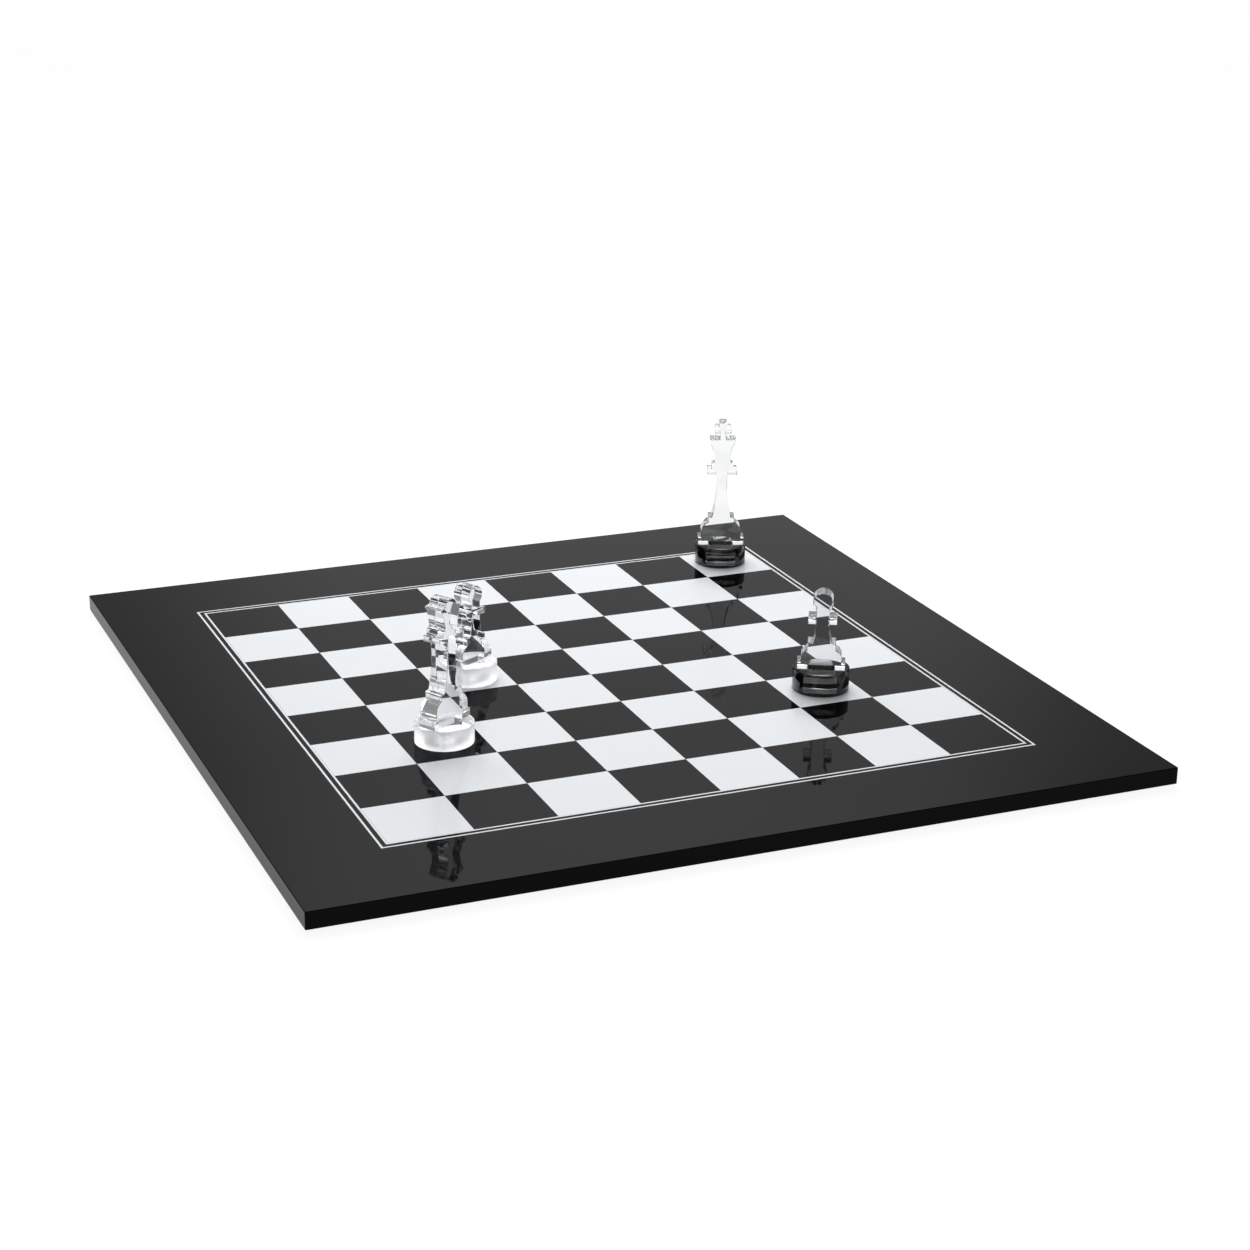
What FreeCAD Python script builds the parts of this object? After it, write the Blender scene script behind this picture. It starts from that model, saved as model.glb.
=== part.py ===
import FreeCAD, Part
import math
import os

# A gloss black acrylic chessboard with light inlaid squares, and four men standing on it.
# Each man is a silhouette cut from thick clear sheet, with a tab held in a slotted round base.
# Millimetres. The origin is the centre of the footprint, on the surface that the pads stand on.
# +Z is up. Ranks 1 to 8 run along +X, and files h to a run along +Y.

# Board
squareSize = 47.0
squaresPerSide = 8
boardSide = 500.0
slabThickness = 10.0
slabEdgeBreak = 0.4
inlayDepth = 0.5
inlayWeb = 0.1  # width of the black left standing between two neighbouring inlays
lineWidth = 1.2
lineSpacing = 3.8  # from the inner edge of the inner line to that of the outer line

# Pads under the board's corners
padRadius = 5.0
padHeight = 1.2
padInset = 24.0

# Men
sheetThickness = 12.0
smokedThickness = 13.5
whiteThickness = 12.0
baseRadius = 17.0
baseEdgeRadius = 0.4
tabHalfWidth = 8.0
slotClearance = 0.1

gridHalf = squareSize * squaresPerSide / 2
boardTop = padHeight + slabThickness

# Half outlines of the silhouettes, from the foot up: (distance from the middle, height above the base).
# A pair of points is a straight cut to the point, and two pairs are an arc through the first to the second.
footHalfWidth = 15.4
footHeight = 5.0
collarTop = 56.1
tallBody = [
    ((footHalfWidth, footHeight),),
    ((13.4, footHeight),),
    ((13.4, 8.8),),
    ((11.9, 13.2), (8.8, 15.9)),  # shoulder of the bell
    ((8.8, 19.5),),
    ((6.4, 19.5),),
    ((4.3, 29.3), (3.6, 43.3)),  # stem
    ((3.9, 49.1),),
    ((10.0, 49.1),),  # collar, and the smaller ring on it
    ((10.0, 52.7),),
    ((7.2, 52.7),),
    ((7.2, collarTop),),
    ((5.4, collarTop),),
]
kingCrown = [
    ((5.5, 61.3), (6.9, 66.6)),
    ((8.2, 69.8), (8.7, 73.3)),
    ((1.7, 73.3),),
    ((1.7, 77.3),),  # cross
    ((5.5, 77.3),),
    ((5.5, 81.5),),
    ((2.7, 81.5),),
    ((2.7, 84.9),),
    ((0.0, 84.9),),
]
queenCrown = [
    ((6.0, 62.8), (8.9, 69.4)),
    ((6.6, 69.3), (4.5, 70.1)),  # scooped rim
    ((3.2, 72.6), (0.0, 73.7)),  # dome
]

pawnFootHalfWidth = 14.2
pawnCollarTop = 32.4
neckHalfWidth = 3.9
headRadius = 6.0
headHeight = 41.4  # of the head's centre
neckTop = headHeight - math.sqrt(headRadius**2 - neckHalfWidth**2)
pawnBody = [
    ((pawnFootHalfWidth, 4.2),),
    ((12.2, 4.2),),
    ((12.1, 6.3),),
    ((11.0, 9.9), (8.3, 11.9)),
    ((8.3, 16.3),),
    ((5.7, 16.3),),
    ((4.2, 22.3), (3.8, 28.4)),
    ((8.5, 28.4),),
    ((8.5, pawnCollarTop),),
    ((neckHalfWidth, pawnCollarTop),),
    ((neckHalfWidth, neckTop),),
    ((headRadius, headHeight), (0.0, headHeight + headRadius)),
]

# Where each man stands: its square, how far off the square's middle, and how far the silhouette is turned.
men = {
    "black_king": {
        "square": "a8", "offset": (-1.5, 5.2), "turn": -22.0, "base": smokedThickness,
        "foot": footHalfWidth, "outline": tallBody + kingCrown,
    },
    "black_pawn": {
        "square": "f7", "offset": (1.9, 1.6), "turn": -28.0, "base": smokedThickness,
        "foot": pawnFootHalfWidth, "outline": pawnBody,
    },
    "white_queen": {
        "square": "f2", "offset": (1.7, 3.1), "turn": 30.5, "base": whiteThickness,
        "foot": footHalfWidth, "outline": tallBody + queenCrown,
    },
    "white_pawn": {
        "square": "d3", "offset": (0.2, -2.8), "turn": 30.0, "base": whiteThickness,
        "foot": pawnFootHalfWidth, "outline": pawnBody,
    },
}


def squareName(column, row):
    """Name of the square in a column counted along +X and a row counted along +Y."""
    return "hgfedcba"[row] + str(column + 1)


def squareCentre(name):
    column = int(name[1]) - 1
    row = "hgfedcba".index(name[0])
    return (
        (column + 0.5) * squareSize - gridHalf,
        (row + 0.5) * squareSize - gridHalf,
    )


def centredBox(width, bottom, height, centre=(0.0, 0.0)):
    corner = FreeCAD.Vector(centre[0] - width / 2, centre[1] - width / 2, bottom)
    return Part.makeBox(width, width, height, corner)


def lightSquare(name):
    width = squareSize - inlayWeb
    return centredBox(width, boardTop - inlayDepth, inlayDepth, squareCentre(name))


def lineFrame(innerHalf):
    """A square ring, as wide as a line, round the grid."""
    bottom = boardTop - inlayDepth
    outer = centredBox(2 * (innerHalf + lineWidth), bottom, inlayDepth)
    inner = centredBox(2 * innerHalf, bottom, inlayDepth)
    return outer.cut(inner)


def slab(inlays):
    body = centredBox(boardSide, padHeight, slabThickness)
    body = body.makeChamfer(slabEdgeBreak, body.Edges)
    return body.cut(inlays)


def cornerPad(xSide, ySide):
    reach = boardSide / 2 - padInset
    centre = FreeCAD.Vector(xSide * reach, ySide * reach, 0)
    return Part.makeCylinder(padRadius, padHeight, centre)


def roundBase(thickness):
    """A disc with eased rims and a slot cut right through for the silhouette's tab."""
    disc = Part.makeCylinder(baseRadius, thickness)
    rims = [edge for edge in disc.Edges if len(edge.Vertexes) == 1]
    disc = disc.makeFillet(baseEdgeRadius, rims)
    slotLength = 2 * (tabHalfWidth + slotClearance)
    slotWidth = sheetThickness + 2 * slotClearance
    corner = FreeCAD.Vector(-slotLength / 2, -slotWidth / 2, 0)
    return disc.cut(Part.makeBox(slotLength, slotWidth, thickness, corner))


def silhouette(foot, outline, tabDepth):
    """A flat sheet standing in the XZ plane, with its foot on z = 0 and its tab below that."""
    strokes = [((tabHalfWidth, 0.0),), ((foot, 0.0),)] + outline
    here = FreeCAD.Vector(tabHalfWidth, 0, -tabDepth)
    half = []
    for stroke in strokes:
        points = [FreeCAD.Vector(x, 0, z) for x, z in stroke]
        if len(points) == 1:
            half.append(Part.makeLine(here, points[0]))
        else:
            half.append(Part.Arc(here, *points).toShape())
        here = points[-1]
    otherHalf = [edge.mirror(FreeCAD.Vector(0, 0, 0), FreeCAD.Vector(1, 0, 0)) for edge in half]
    tabEnd = Part.makeLine(
        FreeCAD.Vector(-tabHalfWidth, 0, -tabDepth),
        FreeCAD.Vector(tabHalfWidth, 0, -tabDepth),
    )
    wire = Part.Wire(Part.__sortEdges__([tabEnd] + half + otherHalf))
    sheet = Part.Face(wire).extrude(FreeCAD.Vector(0, sheetThickness, 0))
    sheet.translate(FreeCAD.Vector(0, -sheetThickness / 2, 0))
    return sheet


def standing(shape, man, height):
    """The shape turned and set down at the man's place, raised to a height."""
    x, y = squareCentre(man["square"])
    placed = shape.copy()
    placed.rotate(FreeCAD.Vector(0, 0, 0), FreeCAD.Vector(0, 0, 1), man["turn"])
    placed.translate(FreeCAD.Vector(x + man["offset"][0], y + man["offset"][1], height))
    return placed


def buildNodes():
    nodes = {}
    for column in range(squaresPerSide):
        for row in range(squaresPerSide):
            if (column + row) % 2 == 0:
                name = squareName(column, row)
                nodes["light_square_" + name] = lightSquare(name)
    nodes["inner_line"] = lineFrame(gridHalf + inlayWeb / 2)
    nodes["outer_line"] = lineFrame(gridHalf + lineSpacing)
    nodes["board_slab"] = slab(list(nodes.values()))

    corners = {"h1": (-1, -1), "h8": (1, -1), "a1": (-1, 1), "a8": (1, 1)}
    for corner, sides in corners.items():
        nodes["pad_" + corner] = cornerPad(*sides)

    for name, man in men.items():
        base = roundBase(man["base"])
        sheet = silhouette(man["foot"], man["outline"], man["base"])
        nodes[name + "_base"] = standing(base, man, boardTop)
        nodes[name + "_silhouette"] = standing(sheet, man, boardTop + man["base"])
    return nodes


os.makedirs("parts", exist_ok=True)
for nodeName, shape in buildNodes().items():
    shape.exportStep("parts/" + nodeName + ".step")
    print(nodeName, shape.isValid(), len(shape.Solids), round(shape.Volume))
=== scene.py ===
import bpy
import math
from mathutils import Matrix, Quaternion, Vector


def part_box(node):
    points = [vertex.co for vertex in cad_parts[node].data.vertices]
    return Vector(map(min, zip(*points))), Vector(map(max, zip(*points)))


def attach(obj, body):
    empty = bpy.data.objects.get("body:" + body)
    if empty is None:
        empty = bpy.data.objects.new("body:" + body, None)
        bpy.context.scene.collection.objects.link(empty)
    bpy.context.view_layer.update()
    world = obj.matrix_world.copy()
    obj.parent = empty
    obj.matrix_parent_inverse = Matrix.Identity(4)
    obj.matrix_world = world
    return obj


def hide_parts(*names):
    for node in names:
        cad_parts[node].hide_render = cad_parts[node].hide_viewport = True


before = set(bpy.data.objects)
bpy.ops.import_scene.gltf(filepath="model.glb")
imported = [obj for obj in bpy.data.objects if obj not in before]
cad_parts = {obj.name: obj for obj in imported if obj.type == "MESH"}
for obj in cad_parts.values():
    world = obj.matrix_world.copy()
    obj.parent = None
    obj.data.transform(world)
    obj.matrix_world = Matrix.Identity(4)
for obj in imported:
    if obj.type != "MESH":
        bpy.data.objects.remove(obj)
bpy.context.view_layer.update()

mm = 0.001  # one millimetre in scene units
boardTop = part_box("board_slab")[1].z
print("frame loaded:", len(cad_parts), "pieces")

# How each man's silhouette is turned about the upright, in degrees, and what its base is made of.
men = {
    "black_king": {"turn": -22.0, "base": "smoked_acrylic"},
    "black_pawn": {"turn": -28.0, "base": "smoked_acrylic"},
    "white_queen": {"turn": 30.5, "base": "white_backed_acrylic"},
    "white_pawn": {"turn": 30.0, "base": "white_backed_acrylic"},
}


def linearColour(hexText):
    channels = [int(hexText[i:i + 2], 16) / 255 for i in (1, 3, 5)]
    linear = [c / 12.92 if c <= 0.04045 else ((c + 0.055) / 1.055) ** 2.4 for c in channels]
    return (*linear, 1.0)


def newMaterial(name):
    material = bpy.data.materials.new(name)
    material.use_nodes = True
    material.node_tree.nodes.clear()
    return material


def addNode(owner, kind, settings=None, values=None, links=None):
    tree = owner.node_tree
    made = tree.nodes.new(kind)
    for name, value in (settings or {}).items():
        setattr(made, name, value)
    for socket, value in (values or {}).items():
        made.inputs[socket].default_value = value
    for socket, source in (links or {}).items():
        tree.links.new(source, made.inputs[socket])
    return made


# The scale of a noise whose features are of this size in millimetres.
def perMetre(size):
    return 1 / (size * mm)


# In this dictionary and those that follow, sizes and heights are in millimetres, a pair of roughnesses
# is the least and the most, and noiseRange is the part of the noise that takes the one to the other.
blackAcrylic = {
    "colour": "#060607",
    "faded": "#09090B",
    "ior": 1.12,
    "roughness": (0.02, 0.05),  # where it's freshly wiped, and where it has been handled
    "noiseRange": (0.35, 0.75),
    "hazeSize": 60.0,
    "waveSize": 45.0,
    "waveHeight": 0.004,
}


# Cast acrylic sheet, gloss black. Casting between glass plates leaves it mirror flat, with a slow swell
# that bends what it mirrors very slightly, and wiping leaves a faint uneven haze.
def blackCastAcrylic():
    m = newMaterial("black_cast_acrylic")
    place = addNode(m, "ShaderNodeTexCoord").outputs["Object"]
    haze = addNode(m, "ShaderNodeTexNoise", {},
                   {"Scale": perMetre(blackAcrylic["hazeSize"]), "Detail": 6.0},
                   {"Vector": place})
    rough = addNode(m, "ShaderNodeMapRange", {},
                    {"From Min": blackAcrylic["noiseRange"][0],
                     "From Max": blackAcrylic["noiseRange"][1],
                     "To Min": blackAcrylic["roughness"][0],
                     "To Max": blackAcrylic["roughness"][1]},
                    {"Value": haze.outputs["Fac"]})
    tone = addNode(m, "ShaderNodeMix", {"data_type": "RGBA"}, {}, {"Factor": haze.outputs["Fac"]})
    tone.inputs["A"].default_value = linearColour(blackAcrylic["colour"])
    tone.inputs["B"].default_value = linearColour(blackAcrylic["faded"])
    swell = addNode(m, "ShaderNodeTexNoise", {},
                    {"Scale": perMetre(blackAcrylic["waveSize"]), "Detail": 1.0},
                    {"Vector": place})
    relief = addNode(m, "ShaderNodeBump", {},
                     {"Strength": 1.0, "Distance": blackAcrylic["waveHeight"] * mm},
                     {"Height": swell.outputs["Fac"]})
    surface = addNode(m, "ShaderNodeBsdfPrincipled", {}, {"IOR": blackAcrylic["ior"]},
                      {"Base Color": tone.outputs["Result"], "Roughness": rough.outputs["Result"],
                       "Normal": relief.outputs["Normal"]})
    addNode(m, "ShaderNodeOutputMaterial", {}, {}, {"Surface": surface.outputs["BSDF"]})
    return m


whiteEnamelLook = {
    "colour": "#F1F4F7",
    "dulled": "#E9EDF1",
    "ior": 1.3,
    "roughness": (0.12, 0.24),
    "noiseRange": (0.3, 0.7),
    "cloudSize": 25.0,
    "grainSize": 0.8,
    "grainHeight": 0.003,
    "grainStrength": 0.6,
}


# White enamel laid in the cut squares and lines, levelled and polished. Slightly cool, with a soft sheen,
# a faint cloudiness and the fine grain of a filled coat.
def whiteEnamel():
    m = newMaterial("white_enamel")
    place = addNode(m, "ShaderNodeTexCoord").outputs["Object"]
    cloud = addNode(m, "ShaderNodeTexNoise", {},
                    {"Scale": perMetre(whiteEnamelLook["cloudSize"]), "Detail": 5.0},
                    {"Vector": place})
    tone = addNode(m, "ShaderNodeMix", {"data_type": "RGBA"}, {}, {"Factor": cloud.outputs["Fac"]})
    tone.inputs["A"].default_value = linearColour(whiteEnamelLook["colour"])
    tone.inputs["B"].default_value = linearColour(whiteEnamelLook["dulled"])
    rough = addNode(m, "ShaderNodeMapRange", {},
                    {"From Min": whiteEnamelLook["noiseRange"][0],
                     "From Max": whiteEnamelLook["noiseRange"][1],
                     "To Min": whiteEnamelLook["roughness"][0],
                     "To Max": whiteEnamelLook["roughness"][1]},
                    {"Value": cloud.outputs["Fac"]})
    grain = addNode(m, "ShaderNodeTexNoise", {},
                    {"Scale": perMetre(whiteEnamelLook["grainSize"]), "Detail": 2.0},
                    {"Vector": place})
    relief = addNode(m, "ShaderNodeBump", {},
                     {"Strength": whiteEnamelLook["grainStrength"],
                      "Distance": whiteEnamelLook["grainHeight"] * mm},
                     {"Height": grain.outputs["Fac"]})
    surface = addNode(m, "ShaderNodeBsdfPrincipled", {}, {"IOR": whiteEnamelLook["ior"]},
                      {"Base Color": tone.outputs["Result"], "Roughness": rough.outputs["Result"],
                       "Normal": relief.outputs["Normal"]})
    addNode(m, "ShaderNodeOutputMaterial", {}, {}, {"Surface": surface.outputs["BSDF"]})
    return m


clearAcrylic = {
    "colour": "#F3F4F5",
    "ior": 1.49,
    "faceRoughness": (0.0, 0.012),
    "faceNoiseRange": (0.4, 0.8),
    "waveSize": 18.0,
    "waveHeight": 0.0015,
    "cutRoughness": (0.0, 0.02),
    "cutNoiseRange": (0.35, 0.7),
    "cutPitch": 0.35,  # spacing of the beam's lines, drawn coarser than the real 0.1 so that they show
    "cutHeight": 0.0012,
}


# Clear cast acrylic, the sheet's own faces. Glass clear, with a trace of waviness from casting.
def clearCastAcrylic():
    m = newMaterial("clear_cast_acrylic")
    place = addNode(m, "ShaderNodeTexCoord").outputs["Object"]
    wave = addNode(m, "ShaderNodeTexNoise", {},
                   {"Scale": perMetre(clearAcrylic["waveSize"]), "Detail": 2.0},
                   {"Vector": place})
    rough = addNode(m, "ShaderNodeMapRange", {},
                    {"From Min": clearAcrylic["faceNoiseRange"][0],
                     "From Max": clearAcrylic["faceNoiseRange"][1],
                     "To Min": clearAcrylic["faceRoughness"][0],
                     "To Max": clearAcrylic["faceRoughness"][1]},
                    {"Value": wave.outputs["Fac"]})
    relief = addNode(m, "ShaderNodeBump", {},
                     {"Strength": 1.0, "Distance": clearAcrylic["waveHeight"] * mm},
                     {"Height": wave.outputs["Fac"]})
    surface = addNode(m, "ShaderNodeBsdfPrincipled", {},
                      {"Base Color": linearColour(clearAcrylic["colour"]), "IOR": clearAcrylic["ior"],
                       "Transmission Weight": 1.0},
                      {"Roughness": rough.outputs["Result"], "Normal": relief.outputs["Normal"]})
    addNode(m, "ShaderNodeOutputMaterial", {}, {}, {"Surface": surface.outputs["BSDF"]})
    return m


# Clear cast acrylic where a laser has cut it. The beam melts the edge to a gloss, and leaves fine lines
# straight through the thickness, which break up what is seen in the edge.
def laserCutAcrylic(man):
    m = newMaterial("laser_cut_acrylic_" + man)
    place = addNode(m, "ShaderNodeTexCoord").outputs["Object"]
    # Turned so that X runs along the sheet, and flattened through its thickness.
    alongSheet = addNode(m, "ShaderNodeMapping", {"vector_type": "TEXTURE"},
                         {"Rotation": (0, 0, math.radians(men[man]["turn"]))}, {"Vector": place})
    flattened = addNode(m, "ShaderNodeVectorMath", {"operation": "MULTIPLY"}, {1: (1.0, 0.0, 1.0)},
                        {0: alongSheet.outputs["Vector"]})
    lines = addNode(m, "ShaderNodeTexNoise", {},
                    {"Scale": perMetre(clearAcrylic["cutPitch"]), "Detail": 2.0},
                    {"Vector": flattened.outputs["Vector"]})
    rough = addNode(m, "ShaderNodeMapRange", {},
                    {"From Min": clearAcrylic["cutNoiseRange"][0],
                     "From Max": clearAcrylic["cutNoiseRange"][1],
                     "To Min": clearAcrylic["cutRoughness"][0],
                     "To Max": clearAcrylic["cutRoughness"][1]},
                    {"Value": lines.outputs["Fac"]})
    relief = addNode(m, "ShaderNodeBump", {},
                     {"Strength": 1.0, "Distance": clearAcrylic["cutHeight"] * mm},
                     {"Height": lines.outputs["Fac"]})
    surface = addNode(m, "ShaderNodeBsdfPrincipled", {},
                      {"Base Color": linearColour(clearAcrylic["colour"]), "IOR": clearAcrylic["ior"],
                       "Transmission Weight": 1.0},
                      {"Roughness": rough.outputs["Result"], "Normal": relief.outputs["Normal"]})
    addNode(m, "ShaderNodeOutputMaterial", {}, {}, {"Surface": surface.outputs["BSDF"]})
    return m


smokedDisc = {
    "wallIor": 1.49,
    "faceIor": 1.12,
    "faceOver": 0.7,  # upright part of the normal from which the surface counts as a flat face
    "depthColour": "#101012",
    "density": 104.0,  # per metre
    "roughness": (0.01, 0.04),
    "noiseRange": (0.35, 0.7),
    "turningPitch": 0.5,
    "turningHeight": 0.0002,
    "backing": "#050506",
    "backingIor": 1.1,
    "backingRoughness": (0.5, 0.8),
    "backingCloudSize": 6.0,
}


# Smoked acrylic, turned to a disc and polished. Dark right through, so that a little light passes only
# where it is thin, with faint rings left by the turning. Its flat faces mirror the room as weakly as the
# black sheet does.
def smokedAcrylic():
    m = newMaterial("smoked_acrylic")
    coordinates = addNode(m, "ShaderNodeTexCoord")
    level = addNode(m, "ShaderNodeVectorMath", {"operation": "MULTIPLY"}, {1: (0.0, 0.0, 1.0)},
                    {0: coordinates.outputs["Object"]})
    rings = addNode(m, "ShaderNodeTexNoise", {},
                    {"Scale": perMetre(smokedDisc["turningPitch"]), "Detail": 2.0},
                    {"Vector": level.outputs["Vector"]})
    rough = addNode(m, "ShaderNodeMapRange", {},
                    {"From Min": smokedDisc["noiseRange"][0],
                     "From Max": smokedDisc["noiseRange"][1],
                     "To Min": smokedDisc["roughness"][0],
                     "To Max": smokedDisc["roughness"][1]},
                    {"Value": rings.outputs["Fac"]})
    relief = addNode(m, "ShaderNodeBump", {},
                     {"Strength": 1.0, "Distance": smokedDisc["turningHeight"] * mm},
                     {"Height": rings.outputs["Fac"]})
    wall = addNode(m, "ShaderNodeBsdfPrincipled", {},
                   {"Base Color": (1, 1, 1, 1), "IOR": smokedDisc["wallIor"],
                    "Transmission Weight": 1.0},
                   {"Roughness": rough.outputs["Result"], "Normal": relief.outputs["Normal"]})
    face = addNode(m, "ShaderNodeBsdfPrincipled", {},
                   {"Base Color": (1, 1, 1, 1), "IOR": smokedDisc["faceIor"],
                    "Transmission Weight": 1.0},
                   {"Roughness": rough.outputs["Result"]})
    upright = addNode(m, "ShaderNodeVectorMath", {"operation": "DOT_PRODUCT"}, {1: (0.0, 0.0, 1.0)},
                      {0: coordinates.outputs["Normal"]})
    upOrDown = addNode(m, "ShaderNodeMath", {"operation": "ABSOLUTE"}, {}, {0: upright.outputs["Value"]})
    flat = addNode(m, "ShaderNodeMath", {"operation": "GREATER_THAN"}, {1: smokedDisc["faceOver"]},
                   {0: upOrDown.outputs["Value"]})
    surface = addNode(m, "ShaderNodeMixShader", {}, {},
                      {"Fac": flat.outputs["Value"], 1: wall.outputs["BSDF"], 2: face.outputs["BSDF"]})
    depth = addNode(m, "ShaderNodeVolumeAbsorption", {},
                    {"Color": linearColour(smokedDisc["depthColour"]), "Density": smokedDisc["density"]})
    addNode(m, "ShaderNodeOutputMaterial", {}, {},
            {"Surface": surface.outputs["Shader"], "Volume": depth.outputs["Volume"]})
    return m


whiteDisc = {
    "faceIor": 1.2,
    "wallIor": 1.35,
    "colour": "#FBFBFC",
    "faceRoughness": (0.01, 0.03),
    "faceNoiseRange": (0.35, 0.7),
    "hazeSize": 9.0,
    "wallRoughness": (0.55, 0.7),
    "wallNoiseRange": (0.3, 0.7),
    "streakPitch": 0.7,
    "streakHeight": 0.01,
    "streakRise": 0.15,  # how fast the streaks change going up, against going round
    "backing": "#FEFEFE",
    "backingCloud": "#F9F9FA",
    "backingCloudSize": 6.0,
    "backingIor": 1.3,
    "backingRoughness": 0.6,
    "backingPaintedGlow": 0.6,  # painted glow, standing for the light that the disc gathers from all round
}


# Polished clear acrylic on the top of a white man's disc, with a trace of wiping haze.
def clearDiscFace():
    m = newMaterial("clear_disc_face")
    place = addNode(m, "ShaderNodeTexCoord").outputs["Object"]
    haze = addNode(m, "ShaderNodeTexNoise", {},
                   {"Scale": perMetre(whiteDisc["hazeSize"]), "Detail": 3.0},
                   {"Vector": place})
    rough = addNode(m, "ShaderNodeMapRange", {},
                    {"From Min": whiteDisc["faceNoiseRange"][0],
                     "From Max": whiteDisc["faceNoiseRange"][1],
                     "To Min": whiteDisc["faceRoughness"][0],
                     "To Max": whiteDisc["faceRoughness"][1]},
                    {"Value": haze.outputs["Fac"]})
    surface = addNode(m, "ShaderNodeBsdfPrincipled", {},
                      {"Base Color": linearColour(whiteDisc["colour"]), "IOR": whiteDisc["faceIor"],
                       "Transmission Weight": 1.0},
                      {"Roughness": rough.outputs["Result"]})
    addNode(m, "ShaderNodeOutputMaterial", {}, {}, {"Surface": surface.outputs["BSDF"]})
    return m


# Sawn acrylic on the outer wall of a white man's disc. The tool leaves it frosted, with fine upright
# streaks, so that the white underside is seen through it as an even milky glow.
def frostedDiscWall():
    m = newMaterial("frosted_disc_wall")
    place = addNode(m, "ShaderNodeTexCoord").outputs["Object"]
    drawnOut = addNode(m, "ShaderNodeVectorMath", {"operation": "MULTIPLY"},
                       {1: (1.0, 1.0, whiteDisc["streakRise"])}, {0: place})
    streaks = addNode(m, "ShaderNodeTexNoise", {},
                      {"Scale": perMetre(whiteDisc["streakPitch"]), "Detail": 3.0},
                      {"Vector": drawnOut.outputs["Vector"]})
    rough = addNode(m, "ShaderNodeMapRange", {},
                    {"From Min": whiteDisc["wallNoiseRange"][0],
                     "From Max": whiteDisc["wallNoiseRange"][1],
                     "To Min": whiteDisc["wallRoughness"][0],
                     "To Max": whiteDisc["wallRoughness"][1]},
                    {"Value": streaks.outputs["Fac"]})
    relief = addNode(m, "ShaderNodeBump", {},
                     {"Strength": 1.0, "Distance": whiteDisc["streakHeight"] * mm},
                     {"Height": streaks.outputs["Fac"]})
    surface = addNode(m, "ShaderNodeBsdfPrincipled", {},
                      {"Base Color": linearColour(whiteDisc["colour"]), "IOR": whiteDisc["wallIor"],
                       "Transmission Weight": 1.0},
                      {"Roughness": rough.outputs["Result"], "Normal": relief.outputs["Normal"]})
    addNode(m, "ShaderNodeOutputMaterial", {}, {}, {"Surface": surface.outputs["BSDF"]})
    return m


# Black lacquer sprayed on the underside of a smoked disc and on the short ends of its slot. Matt and
# slightly uneven, and seen through the disc as a near black floor.
def blackLacquer():
    m = newMaterial("black_back_lacquer")
    place = addNode(m, "ShaderNodeTexCoord").outputs["Object"]
    cloud = addNode(m, "ShaderNodeTexNoise", {},
                    {"Scale": perMetre(smokedDisc["backingCloudSize"]), "Detail": 4.0},
                    {"Vector": place})
    rough = addNode(m, "ShaderNodeMapRange", {},
                    {"To Min": smokedDisc["backingRoughness"][0],
                     "To Max": smokedDisc["backingRoughness"][1]},
                    {"Value": cloud.outputs["Fac"]})
    surface = addNode(m, "ShaderNodeBsdfPrincipled", {},
                      {"Base Color": linearColour(smokedDisc["backing"]), "IOR": smokedDisc["backingIor"]},
                      {"Roughness": rough.outputs["Result"]})
    addNode(m, "ShaderNodeOutputMaterial", {}, {}, {"Surface": surface.outputs["BSDF"]})
    return m


# White lacquer sprayed on the underside of a clear disc, with a painted glow added as emission that stands
# for the light the disc gathers from all round. Seen through the disc, it's bright and faintly cloudy.
def whiteLacquerAndPaintedGlow():
    m = newMaterial("white_back_lacquer_and_painted_glow")
    place = addNode(m, "ShaderNodeTexCoord").outputs["Object"]
    cloud = addNode(m, "ShaderNodeTexNoise", {},
                    {"Scale": perMetre(whiteDisc["backingCloudSize"]), "Detail": 4.0},
                    {"Vector": place})
    tone = addNode(m, "ShaderNodeMix", {"data_type": "RGBA"}, {}, {"Factor": cloud.outputs["Fac"]})
    tone.inputs["A"].default_value = linearColour(whiteDisc["backing"])
    tone.inputs["B"].default_value = linearColour(whiteDisc["backingCloud"])
    # The emission is a painted glow, not a lamp: it stands for the light that the disc gathers from all
    # round.
    surface = addNode(m, "ShaderNodeBsdfPrincipled", {},
                      {"Roughness": whiteDisc["backingRoughness"], "IOR": whiteDisc["backingIor"],
                       "Emission Color": (1, 1, 1, 1), "Emission Strength": whiteDisc["backingPaintedGlow"]},
                      {"Base Color": tone.outputs["Result"]})
    addNode(m, "ShaderNodeOutputMaterial", {}, {}, {"Surface": surface.outputs["BSDF"]})
    return m


padRubber = {
    "colour": "#141414",
    "dusty": "#262524",
    "roughness": 0.75,
    "pebbleSize": 0.5,
    "pebbleHeight": 0.04,
    "pebbleStrength": 0.8,
}


# Moulded rubber of the pads, matt and dusty grey black with a fine pebbled skin.
def mouldedRubber():
    m = newMaterial("moulded_rubber")
    place = addNode(m, "ShaderNodeTexCoord").outputs["Object"]
    pebble = addNode(m, "ShaderNodeTexNoise", {},
                     {"Scale": perMetre(padRubber["pebbleSize"]), "Detail": 4.0},
                     {"Vector": place})
    tone = addNode(m, "ShaderNodeMix", {"data_type": "RGBA"}, {}, {"Factor": pebble.outputs["Fac"]})
    tone.inputs["A"].default_value = linearColour(padRubber["colour"])
    tone.inputs["B"].default_value = linearColour(padRubber["dusty"])
    relief = addNode(m, "ShaderNodeBump", {},
                     {"Strength": padRubber["pebbleStrength"], "Distance": padRubber["pebbleHeight"] * mm},
                     {"Height": pebble.outputs["Fac"]})
    surface = addNode(m, "ShaderNodeBsdfPrincipled", {}, {"Roughness": padRubber["roughness"]},
                      {"Base Color": tone.outputs["Result"], "Normal": relief.outputs["Normal"]})
    addNode(m, "ShaderNodeOutputMaterial", {}, {}, {"Surface": surface.outputs["BSDF"]})
    return m


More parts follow.
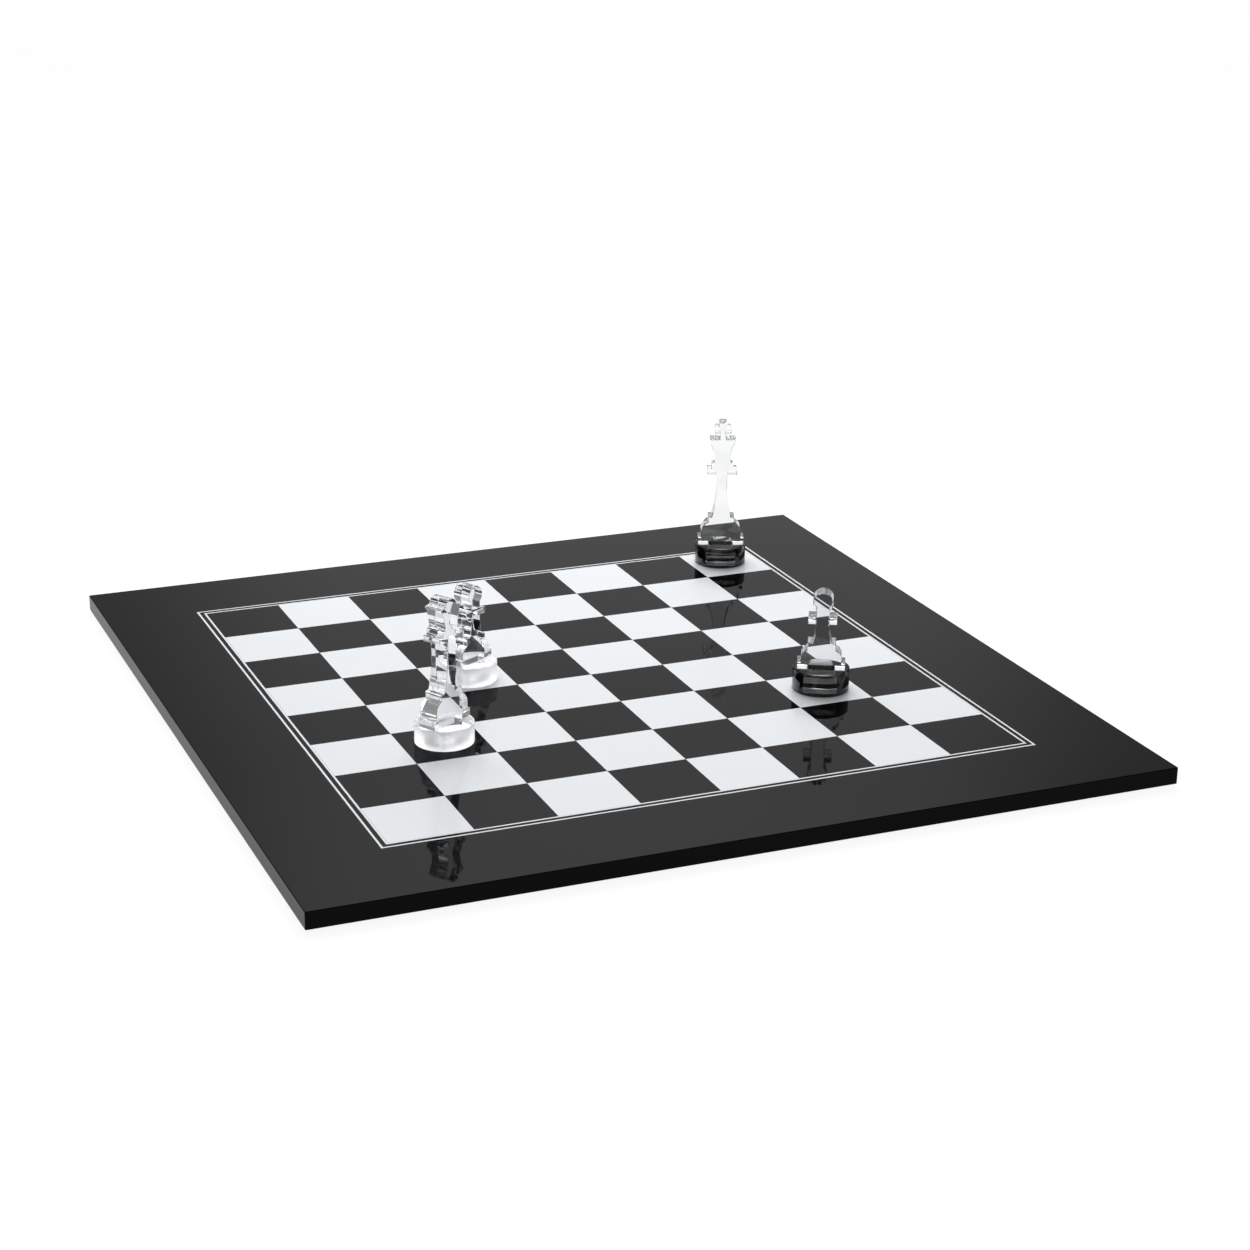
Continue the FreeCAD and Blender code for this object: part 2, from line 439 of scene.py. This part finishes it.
def setMaterials(piece, *materials):
    piece.data.materials.clear()
    for material in materials:
        piece.data.materials.append(material)


def pickOnly(piece):
    bpy.ops.object.select_all(action="DESELECT")
    piece.select_set(True)
    bpy.context.view_layer.objects.active = piece


# Leaves the piece in edit mode with only the faces selected that pass the test.
def pickFaces(piece, test):
    pickOnly(piece)
    bpy.ops.object.mode_set(mode="EDIT")
    bpy.ops.mesh.select_mode(type="FACE")
    bpy.ops.mesh.select_all(action="DESELECT")
    bpy.ops.object.mode_set(mode="OBJECT")
    for face in piece.data.polygons:
        face.select = test(face)
    bpy.ops.object.mode_set(mode="EDIT")


copying = {
    "mergeUnder": 0.001,
    "flatUnder": 0.5,  # degrees
}


# A copy of a CAD piece with its corners merged and its flat faces made whole, which takes the piece's place.
def copyOfNode(node, name, body):
    piece = bpy.data.objects.new(name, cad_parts[node].data.copy())
    bpy.context.scene.collection.objects.link(piece)
    pickOnly(piece)
    bpy.ops.object.mode_set(mode="EDIT")
    bpy.ops.mesh.select_all(action="SELECT")
    bpy.ops.mesh.remove_doubles(threshold=copying["mergeUnder"] * mm)
    bpy.ops.mesh.dissolve_limited(angle_limit=math.radians(copying["flatUnder"]))
    bpy.ops.object.mode_set(mode="OBJECT")
    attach(piece, body)
    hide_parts(node)
    return piece


def applyModifiers(piece):
    pickOnly(piece)
    for modifier in list(piece.modifiers):
        bpy.ops.object.modifier_apply(modifier=modifier.name)


# How the men's pieces are eased and set apart.
fit = {
    "airFilm": 0.03,  # left between pieces that rest on each other
    "edgeBreak": 0.32,
    "edgeSteps": 2,
    "smoothUnder": 16.0,  # degrees
    "bevelOver": 25.0,  # degrees
}


def easeEdges(piece, width):
    pickOnly(piece)
    bpy.ops.object.shade_smooth_by_angle(angle=math.radians(fit["smoothUnder"]))
    bevel = piece.modifiers.new("edge_break", "BEVEL")
    bevel.width = width * mm
    bevel.segments = fit["edgeSteps"]
    bevel.limit_method = "ANGLE"
    bevel.angle_limit = math.radians(fit["bevelOver"])
    applyModifiers(piece)
    pickOnly(piece)
    bpy.ops.object.shade_smooth_by_angle(angle=math.radians(fit["smoothUnder"]))


def liftFaces(piece, test, rise):
    pickFaces(piece, test)
    bpy.ops.transform.translate(value=(0, 0, rise * mm))
    bpy.ops.object.mode_set(mode="OBJECT")


materials = {
    "black": blackCastAcrylic(),
    "enamel": whiteEnamel(),
    "clear": clearCastAcrylic(),
    "smoked": smokedAcrylic(),
    "discFace": clearDiscFace(),
    "discWall": frostedDiscWall(),
    "whiteBackingAndPaintedGlow": whiteLacquerAndPaintedGlow(),
    "blackBacking": blackLacquer(),
    "rubber": mouldedRubber(),
}
print("materials ready:", len(materials))


for nodeName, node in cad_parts.items():
    if nodeName.startswith("light_square") or nodeName.endswith("_line"):
        setMaterials(node, materials["enamel"])
    elif nodeName == "board_slab":
        setMaterials(node, materials["black"])
print("board ready")


# How far a face's normal has to point one way, out of 1, to count as facing that way.
facing = {
    "alongAxis": 0.9,  # through the sheet, or along the slot
    "down": 0.99,
    "level": 0.999,
    "top": 0.7,  # below this, a face outside the slot belongs to the outer wall
}
footReach = 1.0  # millimetres above the base within which a silhouette's underside rests on it
slotReach = 12.0  # millimetres from the disc's axis within which all of the slot's walls lie


def isUnderside(face):
    return face.normal.z < -facing["down"]


# The sheet's own faces stay clear, and all the way round it is laser cut.
def makeSilhouette(man):
    piece = copyOfNode(man + "_silhouette", man + "_blade", man)
    turn = math.radians(men[man]["turn"])
    throughSheet = Vector((-math.sin(turn), math.cos(turn), 0))
    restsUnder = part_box(man + "_base")[1].z + footReach * mm
    liftFaces(piece, lambda face: isUnderside(face) and face.center.z < restsUnder, fit["airFilm"])
    easeEdges(piece, fit["edgeBreak"])
    setMaterials(piece, materials["clear"], laserCutAcrylic(man))
    for face in piece.data.polygons:
        isSheetFace = abs(face.normal.dot(throughSheet)) > facing["alongAxis"]
        face.material_index = 0 if isSheetFace else 1
    return piece


# Which of a disc's three materials a face has: 0 polished, 1 the outer wall, 2 the backing underneath.
def discPart(face, axis):
    if isUnderside(face):
        return 2
    outward = (face.center - axis).to_2d().length > slotReach * mm
    return 1 if outward and face.normal.z < facing["top"] else 0


def makeBase(man):
    piece = copyOfNode(man + "_base", man + "_disc", man)
    low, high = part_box(man + "_base")
    turn = math.radians(men[man]["turn"])
    alongSlot = Vector((math.cos(turn), math.sin(turn), 0))
    liftFaces(piece, isUnderside, fit["airFilm"])
    pickOnly(piece)
    bpy.ops.object.shade_smooth_by_angle(angle=math.radians(fit["smoothUnder"]))
    smoked = men[man]["base"] == "smoked_acrylic"
    if smoked:
        setMaterials(piece, materials["smoked"], materials["smoked"], materials["blackBacking"])
    else:
        setMaterials(piece, materials["discFace"], materials["discWall"], materials["whiteBackingAndPaintedGlow"])
    for face in piece.data.polygons:
        part = discPart(face, (low + high) / 2)
        if smoked and part == 0 and abs(face.normal.dot(alongSlot)) > facing["alongAxis"]:
            part = 2  # the short ends of the slot are blacked as well
        face.material_index = part
        if abs(face.normal.z) > facing["level"]:
            face.use_smooth = False
    return piece


for man in men:
    makeSilhouette(man)
    makeBase(man)
    print("man ready:", man)


pad = {
    "corners": ("h1", "h8", "a1", "a8"),
    "sides": 64,
    "edgeBreak": 0.35,
}


def makePad(corner):
    low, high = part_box("pad_" + corner)
    centre = (low + high) / 2
    bpy.ops.object.select_all(action="DESELECT")
    bpy.ops.mesh.primitive_cylinder_add(vertices=pad["sides"], radius=(high.x - low.x) / 2,
                                        depth=high.z - low.z, location=centre)
    piece = bpy.context.active_object
    piece.name = "foot_" + corner
    bpy.ops.object.transform_apply(location=True, rotation=True, scale=True)
    easeEdges(piece, pad["edgeBreak"])
    setMaterials(piece, materials["rubber"])
    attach(piece, "board")
    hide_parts("pad_" + corner)
    return piece


for corner in pad["corners"]:
    makePad(corner)
print("pads ready")


studioFloor = {
    "radius": 14.0,  # metres
    "sides": 96,
    "colour": "#5A5A5A",
    "roughness": 0.9,
    "glow": 0.91,
}


# Pale studio floor of matt card, lit from within so that it stays white and takes only faint shadows.
def makeFloor():
    m = newMaterial("white_studio_floor")
    surface = addNode(m, "ShaderNodeBsdfPrincipled", {},
                      {"Base Color": linearColour(studioFloor["colour"]),
                       "Roughness": studioFloor["roughness"],
                       "Emission Color": (1, 1, 1, 1), "Emission Strength": studioFloor["glow"]})
    addNode(m, "ShaderNodeOutputMaterial", {}, {}, {"Surface": surface.outputs["BSDF"]})
    bpy.ops.object.select_all(action="DESELECT")
    bpy.ops.mesh.primitive_circle_add(vertices=studioFloor["sides"], radius=studioFloor["radius"],
                                      fill_type="NGON")
    floor = bpy.context.active_object
    floor.name = "floor"
    setMaterials(floor, m)


# Soft light all round, brightest high up behind the board, so that shadows fall faintly to the front.
sky = {
    "back": (0.366, 0.867, 0.84),
    "right": (0.921, -0.389, 0.0),
    # How bright it is by how nearly it lies that way back, from -1 in front to 1.
    "steps": [(-1.0, 0.35), (0.0, 0.42), (0.4, 0.58), (0.88, 0.85), (0.94, 1.05), (0.975, 2.0), (1.0, 2.6)],
    "sidesFrom": 0.1,  # it dims to the left and right between these two
    "sidesTo": 0.21,
    "sidesLeast": 0.5,
    "backdrop": 1.0,  # how bright it is where it is seen directly
}


def makeSky():
    steps = sky["steps"]
    top = steps[-1][1]
    world = bpy.data.worlds.new("studio")
    bpy.context.scene.world = world
    world.use_nodes = True
    world.node_tree.nodes.clear()
    place = addNode(world, "ShaderNodeTexCoord").outputs["Generated"]
    towardsBack = addNode(world, "ShaderNodeVectorMath", {"operation": "DOT_PRODUCT"},
                          {1: Vector(sky["back"]).normalized()}, {0: place})
    share = addNode(world, "ShaderNodeMapRange", {}, {"From Min": -1.0, "From Max": 1.0},
                    {"Value": towardsBack.outputs["Value"]})
    brightness = addNode(world, "ShaderNodeFloatCurve", {}, {}, {"Value": share.outputs["Result"]})
    curve = brightness.mapping.curves[0]
    curve.points[0].location = ((steps[0][0] + 1) / 2, steps[0][1] / top)
    curve.points[1].location = ((steps[-1][0] + 1) / 2, 1.0)
    for nearness, level in steps[1:-1]:
        curve.points.new((nearness + 1) / 2, level / top)
    for point in curve.points:
        point.handle_type = "VECTOR"
    brightness.mapping.update()
    across = addNode(world, "ShaderNodeVectorMath", {"operation": "DOT_PRODUCT"}, {1: sky["right"]},
                     {0: place})
    offAxis = addNode(world, "ShaderNodeMath", {"operation": "ABSOLUTE"}, {}, {0: across.outputs["Value"]})
    dimmed = addNode(world, "ShaderNodeMapRange", {"interpolation_type": "SMOOTHSTEP"},
                     {"From Min": sky["sidesFrom"], "From Max": sky["sidesTo"],
                      "To Min": top, "To Max": top * sky["sidesLeast"]},
                     {"Value": offAxis.outputs["Value"]})
    scaled = addNode(world, "ShaderNodeMath", {"operation": "MULTIPLY"}, {},
                     {0: brightness.outputs["Value"], 1: dimmed.outputs["Result"]})
    seen = addNode(world, "ShaderNodeLightPath")
    strength = addNode(world, "ShaderNodeMix", {"data_type": "FLOAT"}, {},
                       {"Factor": seen.outputs["Is Camera Ray"], "A": scaled.outputs["Value"]})
    strength.inputs["B"].default_value = sky["backdrop"]
    light = addNode(world, "ShaderNodeBackground", {}, {"Color": (1, 1, 1, 1)},
                    {"Strength": strength.outputs["Result"]})
    addNode(world, "ShaderNodeOutputWorld", {}, {}, {"Surface": light.outputs["Background"]})


softbox = {
    "place": (250.0, 900.0, 1300.0),
    "width": 1600.0,
    "depth": 1000.0,
    "power": 19.5,  # watts
}


def makeSoftbox():
    place = Vector(softbox["place"]) * mm
    aim = (Vector((0, 0, boardTop)) - place).to_track_quat("-Z", "Y")
    bpy.ops.object.light_add(type="AREA", location=place, rotation=aim.to_euler())
    light = bpy.context.active_object
    light.name = "softbox"
    light.data.shape = "RECTANGLE"
    light.data.size = softbox["width"] * mm
    light.data.size_y = softbox["depth"] * mm
    light.data.energy = softbox["power"]


cameraView = {
    "place": (-555.98, -1368.46, 574.18),
    "aim": (53.17, 73.80, 11.2),
    "roll": 0.70,  # degrees
    "lens": 75.73,
    "sensor": 36,
    "seesFrom": 0.05,  # metres
    "seesTo": 60,
}


def makeCamera():
    place = Vector(cameraView["place"]) * mm
    aim = Vector(cameraView["aim"]) * mm
    roll = Quaternion((0, 0, 1), math.radians(cameraView["roll"]))
    look = (aim - place).to_track_quat("-Z", "Y") @ roll
    bpy.ops.object.camera_add(location=place, rotation=look.to_euler())
    camera = bpy.context.active_object
    camera.data.lens = cameraView["lens"]
    camera.data.sensor_width = cameraView["sensor"]
    camera.data.clip_start = cameraView["seesFrom"]
    camera.data.clip_end = cameraView["seesTo"]
    bpy.context.scene.camera = camera


# Light passes many clear walls, so it's followed through more of them than usual.
bounces = {
    "all": 32,
    "glossy": 24,
    "transmission": 32,
}


makeFloor()
makeSky()
makeSoftbox()
makeCamera()
scene = bpy.context.scene
scene.view_settings.view_transform = "Standard"
scene.cycles.max_bounces = bounces["all"]
scene.cycles.glossy_bounces = bounces["glossy"]
scene.cycles.transmission_bounces = bounces["transmission"]
print("stage ready")
